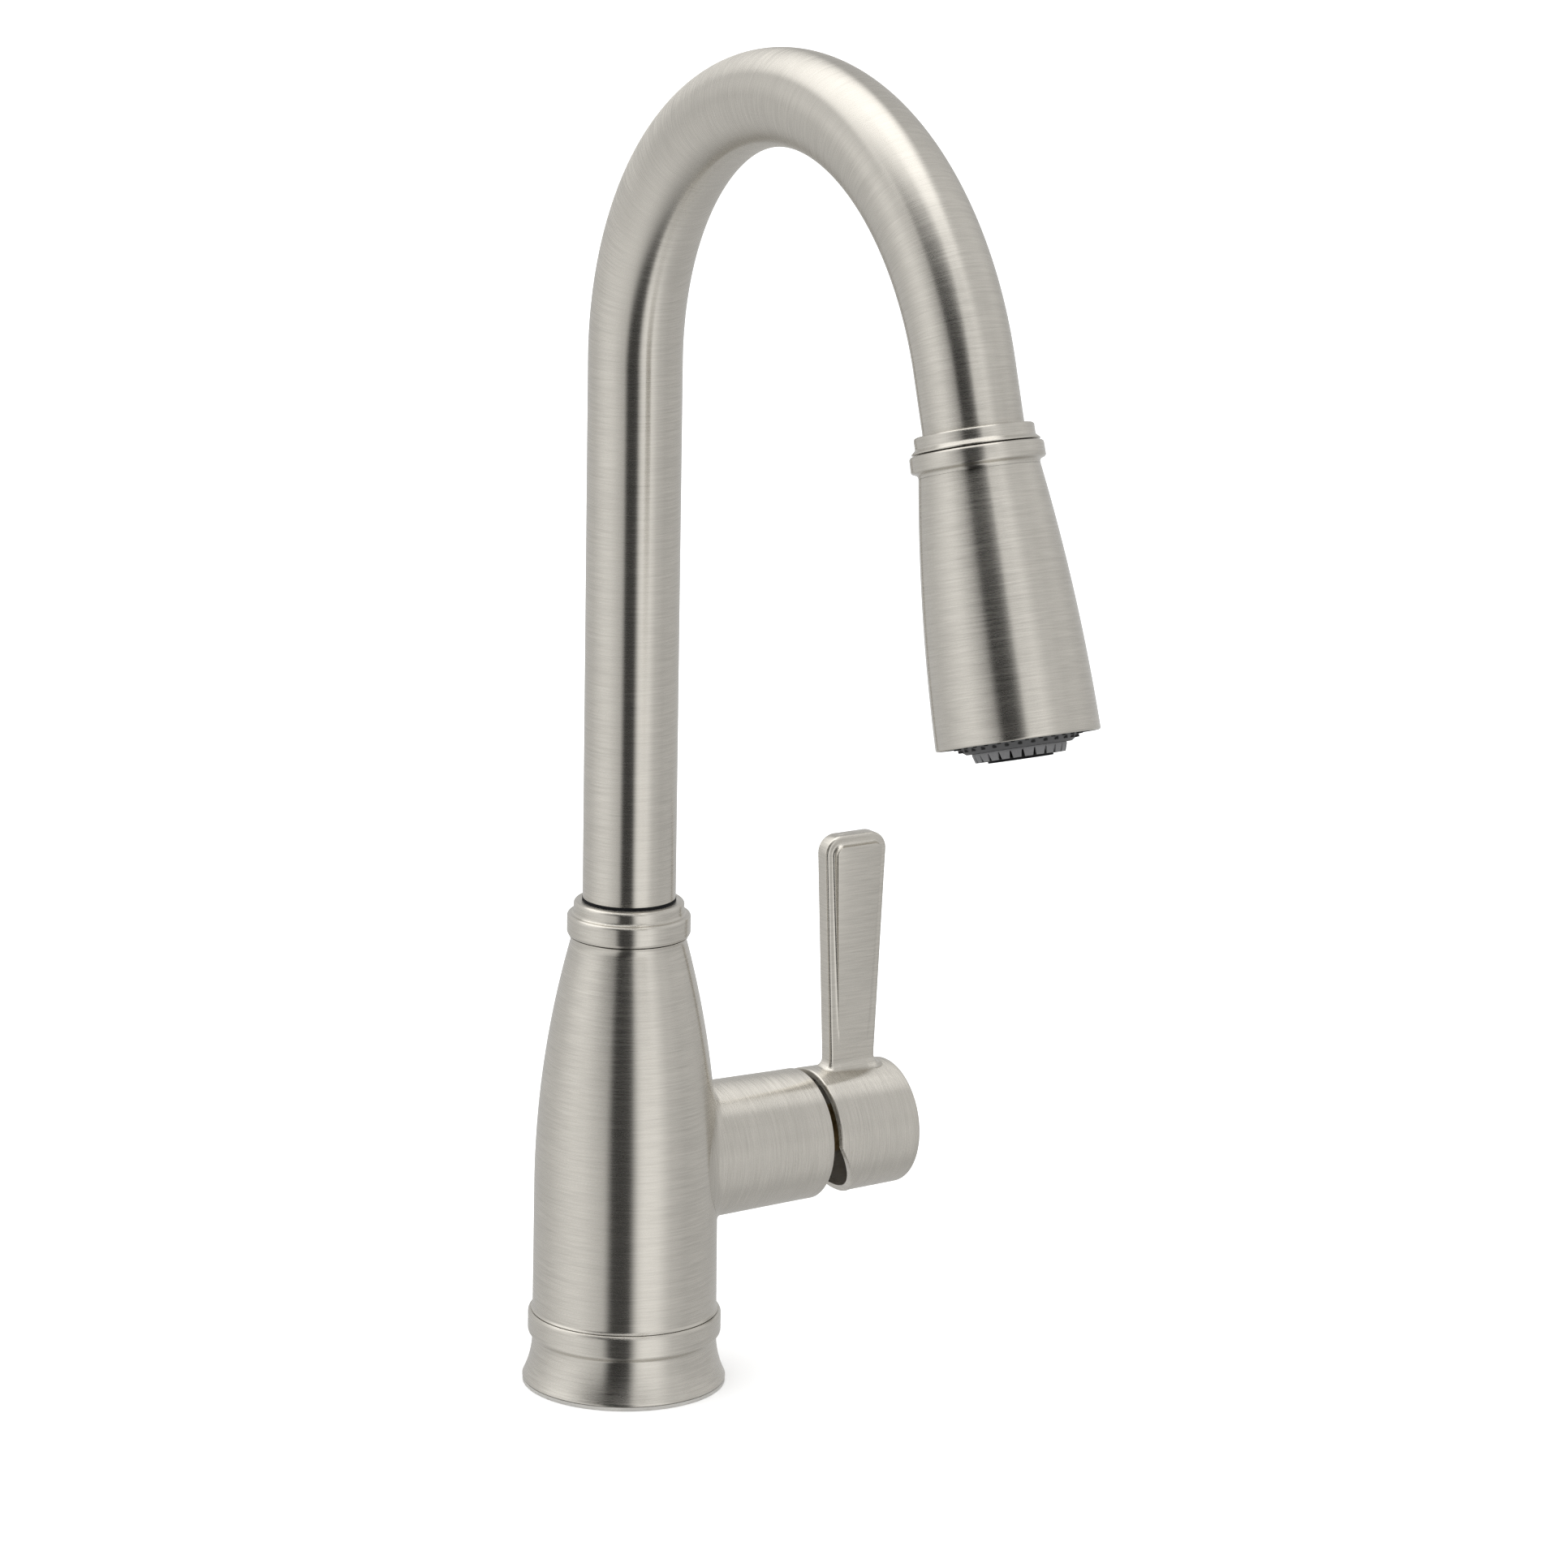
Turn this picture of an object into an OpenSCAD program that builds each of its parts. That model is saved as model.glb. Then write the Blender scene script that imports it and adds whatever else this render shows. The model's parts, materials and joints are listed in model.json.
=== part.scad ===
// Pull down kitchen faucet: bottle shaped body, swivelling gooseneck spout, docked spray wand
// and a side lever. Millimetres. The deck plane is z = 0, the spout axis is Z, the wand hangs
// on the -Y side and the lever hub points along +X. Everything below z = 0 is under the deck.

/* [Body] */
// Radius of the foot at the deck
foot_r = 29.3; // [28.5:0.1:29.5]
// Height of the gasket under the foot
gasket_h = 1; // [0.8:0.1:1.5]
// Radius of the waist just above the foot
waist_r = 26.5; // [26:0.1:27]
// Radius of the bead above the foot
bead_r = 27.8; // [27.2:0.1:28.5]
// Height where the shoulder of the bottle starts to curve in
shoulder_z = 57.4; // [54:0.1:60]
// Radius of the curve of the shoulder
shoulder_curve = 285; // [280:1:300]
// Height of the top of the bottle
bottle_top = 132.9; // [130:0.1:134]
// Radius of the lower ring of the collar
collar_r = 17.6; // [17:0.1:18.5]
// Radius of the upper ring of the collar
collar_top_r = 15.75; // [15.3:0.05:16.2]
// Height of the lower end of the spout tube, above the collar
tube_foot = 144; // [143.5:0.1:145]

/* [Spout] */
// Outer radius of the spout tube
tube_r = 13.25; // [13:0.05:13.3]
// Wall of the spout tube
tube_wall = 1.2; // [1.15:0.05:1.3]
// Height where the riser starts to bend
bend_z = 298.4; // [250:0.1:350]
// Radius of the bend at the tube's centre line
bend_r = 83.3; // [75:0.1:100]
// Angle of the bend
bend_angle = 162.8; // [155:0.1:170]
// Outer radius of the spray hose
hose_r = 5.5; // [5:0.1:6]

/* [Handle] */
// Height of the axis of the hub and handle
hub_z = 65; // [62:0.5:68]
// Distance from the spout axis to the rim of the hub
hub_end = 59; // [58.5:0.1:59.5]
// Radius of the hub at its rim
hub_r = 19.15; // [18.9:0.05:19.6]
// Distance from the spout axis to the rim of the handle cap
cap_start = 61.6; // [61.5:0.1:62.2]
// Distance from the spout axis to the end of the handle cap
cap_end = 89.2; // [88:0.1:91]
// Radius of the handle cap
cap_r = 18.9; // [18.8:0.05:19.2]
// Distance from the spout axis to the middle of the lever
lever_x = 75.2; // [74:0.1:76]
// Height of the top of the lever
lever_top = 153.4; // [130:0.1:165]
// Thickness of the lever's frame
lever_t = 5.2; // [4.6:0.1:6]
// Greatest height of the raised panel above the frame
panel_h = 2; // [1:0.1:2.4]
// Width of the frame around the raised panel
panel_inset = 2.85; // [2.4:0.05:3.2]

/* [Wand] */
// Radius of the ring that ends the spout
tip_r = 15.7; // [15.3:0.1:16]
// Radius of the ring that starts the wand
wand_ring_r = 17.6; // [17.2:0.1:18]
// Radius of the widest end of the wand
wand_end_r = 21.5; // [21:0.1:22]
// Distance from the end of the bend to the lower edge of the wand
wand_end = 97.2; // [96.9:0.1:97.4]
// Number of teeth on the spray selector
teeth = 24; // [18:1:28]
// Number of spray nozzles in each row
nozzles = 28; // [12:1:32]

/* [Mounting] */
// Radius of the threaded shank
shank_r = 16; // [15.8:0.1:16]
// Length of the shank below the deck
shank_l = 58; // [55:1:60]
// Deck thickness that the washers are set for
deck_t = 28; // [20:1:30]
// How far the supply stubs reach below the shank
stub_reach = 16; // [14:1:30]
// Length of the spigot at the end of each stub, that a supply hose grips
spigot_l = 8; // [6:1:10]
// Outer radius of the spigots
spigot_r = 1.95; // [1.8:0.05:2.1]

/* [Hidden] */
$fn = 96;
nickel = [0.72, 0.70, 0.66];
brass = [0.78, 0.62, 0.32];
steel = [0.70, 0.70, 0.70];
plastic = [0.30, 0.30, 0.31];
black = [0.04, 0.04, 0.04];
pale = [0.80, 0.78, 0.76];
eps = 1;                                     // how far a cut runs past a face
bore_r = 21;                                 // room inside the foot and body
bead_z = 15.6;
bead_top = 20.5;
joint_z = 21.6;                              // where the foot ends and the body starts
neck_bore = 12.4;                            // opening that the spout turns in
tube_in = tube_r - tube_wall;
body_r = waist_r - 0.2;                      // radius of the body where its shoulder starts
bottle_top_r = body_r - shoulder_curve + sqrt(pow(shoulder_curve, 2) - pow(bottle_top - shoulder_z, 2));
collar_foot = bottle_top + 0.3;              // lower edge of the collar's lower ring
collar_step = collar_foot + 6.1;             // where the lower ring ends and the upper one starts
collar_top = tube_foot - 0.95;
insert_foot = 112;                           // lower end of the sleeve inside the riser
insert_in = 10.95;
stub_r = 9.8;                                // fixed stub that the spout turns on
stub_top = 146;
hose_way = 7.2;                              // passage for the hose
groove_z = [118, 133];                       // heights of the two seal grooves
clip_z = 141;
chamber_r = 16.3;
chamber_bore = 13.3;
chamber_start = 24;
chamber_end = 44;
hub_bore = 16.5;
pivot_x = 47;                                // axis that the lever lifts about
rotor_r = 9.55;
stem_w = 6.6;
port_y = 10;                                 // hot and cold passages
port_r = 1.8;
tip_start = 16.6;
tip_end = 21;
gap = 0.35;                                  // clearance between the docked wand and the spout
wand_joint = 26.3;                           // where the wand's ring meets its shell
wand_wall = 1.5;
wand_curve = 538;                            // radius of the curve of the wand's flare
wand_apex = 105;                             // where that curve would run parallel to the axis
face_z = 92;                                 // back of the spray face
face_rim = 96.6;
face_tip = 99;
face_bore = 10.6;
outer_row = 16.3;                            // radii of the two rows of nozzles
inner_row = 15.2;
outer_tip = 97.5;                            // where the nozzles of each row end
inner_tip = 98.3;
stagger = 180 / nozzles;                     // turn between the two rows
selector_z = 99.35;
selector_end = 101.4;
selector_r = 12.3;
selector_tip_r = 11.7;
root_z = 91;                                 // height where the lever's width is root_w
root_w = 15.6;
lever_flare = 0.088;                         // gain in the lever's width for each mm of height
corner_r = 5.3;
panel_foot = 92;                             // height where the raised panel fades out

// ---- shared shapes ----

// A ring about Z from z0 to z1
module ring(ro, ri, z0, z1) {
    difference() {
        translate([0, 0, z0]) cylinder(h = z1 - z0, r = ro);
        translate([0, 0, z0 - eps]) cylinder(h = z1 - z0 + 2 * eps, r = ri);
    }
}

// Half profile of a band whose two outer corners are rounded by e
module band(r, z0, z1, e) {
    translate([0, z0]) square([r - e, z1 - z0]);
    translate([0, z0 + e]) square([r, z1 - z0 - 2 * e]);
    translate([r - e, z0 + e]) circle(e);
    translate([r - e, z1 - e]) circle(e);
}

// Places children on the hub's axis, with their Z along +X
module on_hub() {
    translate([0, 0, hub_z]) rotate([0, 90, 0]) children();
}

// Places children at the end of the bend, with their Z down the wand's axis
module on_leg() {
    translate([0, -bend_r, bend_z]) rotate([bend_angle, 0, 0]) translate([0, bend_r, 0]) children();
}

// A rod of radius r that follows the gooseneck from height z0 round the bend, through angle
module gooseneck(r, z0, angle) {
    translate([0, 0, z0]) cylinder(h = bend_z - z0, r = r);
    translate([0, -bend_r, bend_z]) rotate([90, 0, 90])
        rotate_extrude(angle = angle) translate([bend_r, 0]) circle(r);
}

// Copies children n times about Z
module around(n, start = 0) {
    for (i = [0 : n - 1]) rotate([0, 0, start + 360 * i / n]) children();
}

// Outline of the lever, narrowed by inset on every side, with its foot at height z0
module lever_outline(inset, z0, r) {
    z1 = lever_top - inset;
    w0 = root_w / 2 + (z0 - root_z) * lever_flare / 2 - inset;
    w1 = root_w / 2 + (z1 - root_z) * lever_flare / 2 - inset;
    w2 = w1 - r * lever_flare / 2;
    polygon([[-w0, z0], [w0, z0], [w2, z1 - r], [w2 - r, z1 - r], [r - w2, z1 - r], [-w2, z1 - r]]);
    translate([r - w2, z1 - 2 * r]) square([2 * (w2 - r), 2 * r]);
    translate([w2 - r, z1 - r]) circle(r);
    translate([r - w2, z1 - r]) circle(r);
}

// One row of spray nozzle cylinders on the spray face
module nozzle_row(row_r, r, z0, z1, start) {
    around(nozzles, start) translate([row_r, 0, z0]) cylinder(h = z1 - z0, r = r, $fn = 24);
}

// ---- fixed pieces above the deck ----

module deck_gasket() {
    color(pale) ring(foot_r - 0.1, 20, 0, gasket_h);
}

module base_ring() {
    flare = 29;
    color(nickel) difference() {
        rotate_extrude() {
            difference() {
                translate([0, gasket_h]) square([foot_r, 13]);
                translate([waist_r + flare, 14]) circle(flare);
            }
            translate([0, gasket_h]) square([waist_r, joint_z - gasket_h]);
            band(bead_r, bead_z, bead_top, 0.8);
        }
        cylinder(h = joint_z + eps, r = bore_r);
    }
}

module body_shell() {
    color(nickel) difference() {
        union() {
            rotate_extrude() {
                polygon([[0, joint_z], [waist_r, joint_z], [body_r, shoulder_z], [0, shoulder_z]]);
                intersection() {
                    translate([body_r - shoulder_curve, shoulder_z]) circle(shoulder_curve, $fn = 360);
                    translate([0, shoulder_z]) square([30, bottle_top - shoulder_z]);
                }
            }
            on_hub() translate([0, 0, 20]) cylinder(h = hub_end - 20, r1 = hub_r + 0.5, r2 = hub_r);
        }
        translate([0, 0, joint_z - eps]) cylinder(h = 88 - joint_z + eps, r = bore_r);
        cylinder(h = 106, r = 18);
        cylinder(h = bottle_top + eps, r = neck_bore);
        on_hub() translate([0, 0, 8]) cylinder(h = hub_end, r = hub_bore);
    }
}

module collar() {
    color(nickel) difference() {
        rotate_extrude() {
            translate([0, bottle_top]) square([bottle_top_r, collar_step - bottle_top]);
            band(collar_r, collar_foot, collar_step, 0.7);
            band(collar_top_r, collar_foot + 2, collar_top, 0.8);
        }
        translate([0, 0, bottle_top - eps]) cylinder(h = collar_top, r = neck_bore);
    }
}

module glide_washer() {
    color(black) ring(tube_r + 0.1, tube_in + 0.3, collar_top, tube_foot - 0.05);
}

module valve_body() {
    color(brass) difference() {
        union() {
            translate([0, 0, gasket_h]) cylinder(h = 8, r = bore_r - 0.2);
            translate([0, 0, gasket_h]) cylinder(h = 103, r = 12.6);
            cylinder(h = stub_top, r = stub_r);
            on_hub() translate([0, 0, 8]) cylinder(h = chamber_end - 8, r = chamber_r);
        }
        translate([0, 0, -eps]) cylinder(h = stub_top + 2 * eps, r = hose_way);
        translate([0, 0, -eps]) cylinder(h = gasket_h + eps, r = bore_r);
        on_hub() translate([0, 0, chamber_start]) cylinder(h = chamber_end, r = chamber_bore);
        for (z = groove_z) ring(stub_r + eps, 8.1, z - 1, z + 1);
        ring(stub_r + eps, 9.1, clip_z - 0.1, clip_z + 1.3);
        for (y = [-port_y, port_y]) {
            translate([0, y, 0]) cylinder(h = hub_z, r = port_r);
            translate([0, y, hub_z]) rotate([0, 90, 0]) cylinder(h = chamber_start + eps, r = port_r);
        }
    }
}

module seal_rings() {
    color(black) for (z = groove_z)
        translate([0, 0, z]) rotate_extrude() translate([8.93, 0]) circle(0.82);
}

module retaining_clip() {
    color(steel) difference() {
        ring(10.6, 9.15, clip_z, clip_z + 1.2);
        translate([0, -2.5, clip_z - eps]) cube([20, 5, 4]);
    }
}

module cartridge() {
    color(plastic) on_hub() difference() {
        translate([0, 0, chamber_start]) cylinder(h = chamber_end - chamber_start, r = chamber_bore - 0.1);
        translate([0, 0, 34]) cylinder(h = chamber_end, r = rotor_r + 0.05);
        for (y = [-port_y, port_y])
            translate([0, y, chamber_start - eps]) cylinder(h = 7, r = port_r);
    }
}

module bonnet_nut() {
    nose = hub_end + 1.2;
    color(steel) on_hub() difference() {
        union() {
            translate([0, 0, chamber_end]) cylinder(h = 13.5, r = hub_bore - 0.3);
            translate([0, 0, chamber_end]) cylinder(h = nose - chamber_end, r = 15.2);
            translate([0, 0, chamber_end]) cylinder(h = nose - chamber_end + 0.7, r = 14);
        }
        translate([0, 0, chamber_end - eps]) cylinder(h = 20, r = 10.4);
        translate([0, 0, 52]) cylinder(h = 12, r = 12.8);
    }
}

// ---- fixed pieces below the deck ----

module threaded_shank() {
    color(steel) difference() {
        union() {
            translate([0, 0, 1 - shank_l]) cylinder(h = shank_l + gasket_h - 1, r = shank_r);
            translate([0, 0, -shank_l]) cylinder(h = 1, r1 = shank_r - 1, r2 = shank_r);
        }
        translate([0, 0, -shank_l - eps]) cylinder(h = shank_l + 3, r = 13.6);
    }
}

module shank_washer() {
    color(black) ring(24, shank_r + 0.3, -deck_t - 3, -deck_t);
}

module lock_washer() {
    color(steel) ring(23, shank_r + 0.3, -deck_t - 4.5, -deck_t - 3);
}

module mounting_nut() {
    color(brass) translate([0, 0, -deck_t - 12.5]) difference() {
        intersection() {
            cylinder(h = 8, r = 26, $fn = 6);
            cylinder(h = 8, r = 24.6);
        }
        translate([0, 0, -eps]) cylinder(h = 12, r = shank_r + 0.1);
    }
}

module supply_stubs() {
    stub_end = -shank_l - stub_reach;
    color(brass) for (side = [-1, 1]) translate([0, side * port_y, 0]) {
        ring(2.3, port_r - 0.4, stub_end + spigot_l, gasket_h);
        ring(spigot_r, port_r - 0.4, stub_end, stub_end + spigot_l + 0.1);
    }
}

// ---- pieces that turn with the spout ----

module spout_tube() {
    color(nickel) difference() {
        gooseneck(tube_r, tube_foot, bend_angle);
        gooseneck(tube_in, tube_foot - eps, bend_angle + 1);
    }
}

module riser_insert() {
    color(brass) ring(tube_in - 0.05, insert_in, insert_foot, tube_foot + 21);
}

module spout_bushing() {
    color(plastic) {
        ring(insert_in - 0.05, stub_r + 0.05, insert_foot, 138);
        ring(tube_in - 0.05, stub_r + 0.05, insert_foot - 1, insert_foot);
    }
}

module tip_sleeve() {
    color(nickel) on_leg() difference() {
        rotate_extrude() {
            translate([0, 0.01]) square([tube_r, tip_start]);
            band(tip_r, tip_start, tip_end - 0.2, 0.7);
            polygon([[0, 19.4], [tip_r - 0.1, 19.9], [tip_r + 1, tip_end], [0, tip_end]]);
        }
        translate([0, 0, -eps]) cylinder(h = 30, r = tube_in);
    }
}

module dock_sleeve() {
    color(plastic) on_leg() difference() {
        translate([0, 0, 0.5]) cylinder(h = tip_end - 0.6, r = tube_in - 0.05);
        cylinder(h = 30, r = 9.2);
        ring(14, 10.6, 6, 12);
    }
}

module dock_magnet() {
    color(steel) on_leg() ring(tube_in - 0.1, 10.65, 6, 12);
}

module spray_hose() {
    color(plastic) difference() {
        gooseneck(hose_r, -shank_l - 4, bend_angle);
        gooseneck(hose_r - 1.7, -shank_l - 4 - eps, bend_angle + 1);
    }
}

// ---- pieces of the wand ----

module wand_ring() {
    color(nickel) on_leg() difference() {
        rotate_extrude() band(wand_ring_r, tip_end + gap, wand_joint, 0.8);
        translate([0, 0, tip_end]) cylinder(h = 10, r = 13);
    }
}

// Half profile of the wand's flare, inset by t
module flare_profile(t, z0, z1) {
    intersection() {
        translate([wand_end_r - wand_curve, wand_apex]) circle(wand_curve - t, $fn = 360);
        translate([0, z0]) square([30, z1 - z0]);
    }
}

module wand_shell() {
    color(nickel) on_leg() difference() {
        rotate_extrude() difference() {
            flare_profile(0, wand_joint, wand_end);
            polygon([[wand_end_r - 0.6, wand_end], [wand_end_r, wand_end - 0.6], [30, 90], [30, 99]]);
        }
        rotate_extrude() flare_profile(wand_wall, wand_joint + 2, wand_end + eps);
        translate([0, 0, wand_joint - eps]) cylinder(h = 10, r = 12);
    }
}

module wand_insert() {
    color(plastic) on_leg() difference() {
        union() {
            translate([0, 0, 2]) cylinder(h = 78, r = 8.9);
            translate([0, 0, tip_end + gap]) cylinder(h = 8, r = 11.95);
        }
        cylinder(h = 16, r = 6.6);
        cylinder(h = 90, r = 4.5);
        ring(12, 7.6, 6, 12);
    }
}

module keeper_ring() {
    color(steel) on_leg() ring(8.85, 7.65, 6, 12);
}

module hose_connector() {
    color(brass) on_leg() difference() {
        translate([0, 0, 0.6]) cylinder(h = 13, r = 6.5);
        cylinder(h = 20, r = 3.8);
    }
}

module inlet_washer() {
    color(black) on_leg() ring(6.5, 3.5, 13.6, 16);
}

module check_valve() {
    color(plastic) on_leg() ring(4.4, 2.4, 30, 42);
}

module spray_face() {
    color(plastic) on_leg() difference() {
        rotate_extrude() {
            translate([0, face_z]) square([19.6, face_rim - face_z]);
            polygon([[0, face_rim], [17, face_rim], [13.7, face_tip], [0, face_tip]]);
        }
        cylinder(h = 110, r = face_bore);
        nozzle_row(outer_row, 0.55, face_z - eps, face_tip, 0);
        nozzle_row(inner_row, 0.55, face_z - eps, face_tip, stagger);
    }
}

module spray_nozzles() {
    color(black) on_leg() {
        nozzle_row(outer_row, 0.5, face_z, outer_tip, 0);
        nozzle_row(inner_row, 0.5, face_z, inner_tip, stagger);
    }
}

// ---- pieces that turn with the spray selector ----

module selector_ring() {
    color(plastic) on_leg() difference() {
        union() {
            translate([0, 0, 88]) cylinder(h = selector_z - 88 + 0.1, r = face_bore - 0.06);
            translate([0, 0, selector_z])
                cylinder(h = selector_end - selector_z, r1 = selector_r, r2 = selector_tip_r);
        }
        translate([0, 0, 80]) cylinder(h = 30, r = 8.6);
        around(teeth) translate([10.2, 0, 0]) rotate([90, 0, 90]) linear_extrude(3)
            polygon([[0, selector_z + 0.4], [0.55, selector_end + 0.1], [-0.55, selector_end + 0.1]]);
    }
}

module diverter_disc() {
    color(plastic) on_leg() difference() {
        translate([0, 0, 84]) cylinder(h = 4, r = 15);
        translate([0, 0, 80]) cylinder(h = 10, r = 4);
        around(6) translate([10.5, 0, 80]) cylinder(h = 10, r = 2.2);
    }
}

module aerator() {
    color(black) on_leg() difference() {
        translate([0, 0, 92]) cylinder(h = 9.9, r = 8.5);
        for (row = [[0, 1], [2.6, 6], [5.2, 12]])
            around(row[1]) translate([row[0], 0, 90]) cylinder(h = 14, r = 0.8, $fn = 24);
    }
}

// ---- pieces of the handle ----

module rotor() {
    color(plastic) on_hub() difference() {
        translate([0, 0, 34.2]) cylinder(h = 17.3, r = rotor_r);
        translate([-20, -stem_w / 2 - 0.3, 40]) cube([40, stem_w + 0.6, 20]);
        translate([0, -20, pivot_x]) rotate([-90, 0, 0]) cylinder(h = 40, r = 1.5);
    }
}

module pivot_pin() {
    color(steel) translate([pivot_x, -9, hub_z]) rotate([-90, 0, 0]) cylinder(h = 18, r = 1.5);
}

module stem() {
    color(steel) difference() {
        translate([41, -stem_w / 2, hub_z - stem_w / 2]) cube([37, stem_w, stem_w]);
        translate([pivot_x, -10, hub_z]) rotate([-90, 0, 0]) cylinder(h = 20, r = 1.56);
    }
}

module handle_adapter() {
    hole_w = stem_w + 0.1;
    color(brass) difference() {
        on_hub() translate([0, 0, 66]) cylinder(h = 16, r = 7);
        translate([60, -hole_w / 2, hub_z - hole_w / 2]) cube([18, hole_w, hole_w]);
        translate([lever_x, 0, hub_z]) rotate([-90, 0, 0]) cylinder(h = 10, r = 1.55);
    }
}

module set_screw() {
    color(steel) translate([lever_x, 0, hub_z]) rotate([-90, 0, 0]) difference() {
        translate([0, 0, stem_w / 2]) cylinder(h = 5.5, r = 1.5);
        translate([0, 0, stem_w / 2 + 4]) cylinder(h = 3, r = 0.9, $fn = 6);
    }
}

// The raised panel of one face of the lever, which fades out towards its foot
module lever_panel() {
    tilt = atan(panel_h / (lever_top - panel_inset - panel_foot));
    translate([lever_x, -lever_t / 2, panel_foot]) rotate([90 + tilt, 0, 0])
        translate([0, -panel_foot, -lever_t / 2]) linear_extrude(lever_t / 2)
            lever_outline(panel_inset, panel_foot, 3);
}

module handle_cap() {
    cap_in = 17;
    wall_x = cap_end - 2.2;
    color(nickel) difference() {
        union() {
            difference() {
                on_hub() rotate_extrude() {
                    translate([0, cap_start]) square([cap_r, 6]);
                    band(cap_r, cap_start + 2, cap_end, 1.2);
                }
                on_hub() translate([0, 0, cap_start - eps])
                    cylinder(h = wall_x - cap_start + eps, r = cap_in);
            }
            on_hub() translate([0, 0, 72]) cylinder(h = wall_x - 71.5, r = 9.5);
            translate([lever_x, lever_t / 2, 0]) rotate([90, 0, 0])
                linear_extrude(lever_t) lever_outline(0, hub_z + 18, corner_r);
            lever_panel();
            mirror([0, 1, 0]) lever_panel();
        }
        on_hub() translate([0, 0, 70]) cylinder(h = 12, r = 7.05);
        translate([0, cap_r + eps, hub_z]) rotate([90, 0, 0]) linear_extrude(2 * cap_r + 2 * eps)
            polygon([[cap_start - 9, 0.001], [cap_start, 0], [cap_start + 10, -20], [cap_start - 9, -20]]);
        translate([lever_x, 6, hub_z]) rotate([-90, 0, 0]) cylinder(h = 8, r = 1.9);
        translate([lever_x, 10, hub_z]) rotate([-90, 0, 0]) cylinder(h = 12, r = 2.6);
    }
}

module screw_cover() {
    color(nickel) translate([lever_x, 16.9, hub_z]) rotate([-90, 0, 0]) cylinder(h = 1.9, r = 2.55);
}

deck_gasket();
base_ring();
body_shell();
collar();
glide_washer();
valve_body();
seal_rings();
retaining_clip();
cartridge();
bonnet_nut();
threaded_shank();
shank_washer();
lock_washer();
mounting_nut();
supply_stubs();
spout_tube();
riser_insert();
spout_bushing();
tip_sleeve();
dock_sleeve();
dock_magnet();
spray_hose();
wand_ring();
wand_shell();
wand_insert();
keeper_ring();
hose_connector();
inlet_washer();
check_valve();
spray_face();
spray_nozzles();
selector_ring();
diverter_disc();
aerator();
rotor();
pivot_pin();
stem();
handle_adapter();
set_screw();
handle_cap();
screw_cover();
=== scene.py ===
"""The looks of a pull down kitchen faucet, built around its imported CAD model.

Lengths are in millimetres up to the point where a mesh is made, and MM turns them into metres.
"""
import json
import math

import bmesh
import bpy
from mathutils import Matrix, Vector


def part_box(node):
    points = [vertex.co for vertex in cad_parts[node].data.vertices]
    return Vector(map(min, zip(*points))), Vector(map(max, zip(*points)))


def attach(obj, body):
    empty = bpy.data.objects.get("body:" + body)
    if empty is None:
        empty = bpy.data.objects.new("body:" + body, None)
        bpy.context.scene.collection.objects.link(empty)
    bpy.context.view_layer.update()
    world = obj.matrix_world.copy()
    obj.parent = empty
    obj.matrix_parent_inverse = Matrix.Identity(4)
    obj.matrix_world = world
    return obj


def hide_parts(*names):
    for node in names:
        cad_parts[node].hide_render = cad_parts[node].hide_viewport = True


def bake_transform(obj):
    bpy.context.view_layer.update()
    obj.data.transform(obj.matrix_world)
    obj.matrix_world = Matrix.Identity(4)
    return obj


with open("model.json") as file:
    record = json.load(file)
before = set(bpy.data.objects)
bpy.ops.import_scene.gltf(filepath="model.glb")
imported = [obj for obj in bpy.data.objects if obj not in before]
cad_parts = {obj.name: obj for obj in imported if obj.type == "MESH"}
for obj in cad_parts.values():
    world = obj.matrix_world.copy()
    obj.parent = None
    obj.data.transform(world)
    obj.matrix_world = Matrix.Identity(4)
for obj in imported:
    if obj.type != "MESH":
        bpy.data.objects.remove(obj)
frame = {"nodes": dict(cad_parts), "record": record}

MM = 0.001
TAU = 2 * math.pi
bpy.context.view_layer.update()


# ---- places and sizes, from the frame ----

def extent(node):
    """Lowest and highest corner of a CAD node, in millimetres to the nearest 0.05."""
    return [Vector([round(c / MM * 20) / 20 for c in corner]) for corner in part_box(node)]


def extent_on_leg(node):
    """How far a CAD node on the wand reaches along the drop leg, from the end of the bend."""
    inward = leg.inverted()
    return round(max((inward @ (v.co / MM)).z for v in frame["nodes"][node].data.vertices), 2)


def joint(name):
    """The frame's joint of that name."""
    return next(j for j in frame["record"]["behaviour"]["joints"] if j["name"] == name)


foot_low, foot_high = extent("base_ring")
body_low, body_high = extent("body_shell")
collar_low, collar_high = extent("collar")
tube_low, tube_high = extent("spout_tube")
bore_r = extent("valve_body")[1][1] + 0.2
neck_bore = 12.4
chamber_r = 16.5

wand_axis = Vector(joint("wand_pull")["axis"]).normalized()
lean = math.atan2(-wand_axis.y, -wand_axis.z)
tube_r = tube_high.x
tube_wall = 1.2
bend_r = (-tube_low.y - tube_r * math.cos(lean)) / (1 + math.cos(lean))
bend_z = tube_high.z - bend_r - tube_r
bend_angle = math.pi - lean

hub_z = joint("handle_temperature")["pos_m"][2] / MM
hub_end = body_high.x
cap_low, cap_high = extent("handle_cap")

# A frame whose Z runs down the drop leg from the end of the bend
leg = Matrix.Translation((0, -bend_r, bend_z)) @ Matrix.Rotation(bend_angle, 4, "X")
leg = leg @ Matrix.Translation((0, bend_r, 0))
# A frame whose Z runs along the hub, with its X down and its Y along +Y
hub = Matrix.Translation((0, 0, hub_z)) @ Matrix.Rotation(math.pi / 2, 4, "Y")


# ---- camera ----

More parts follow.
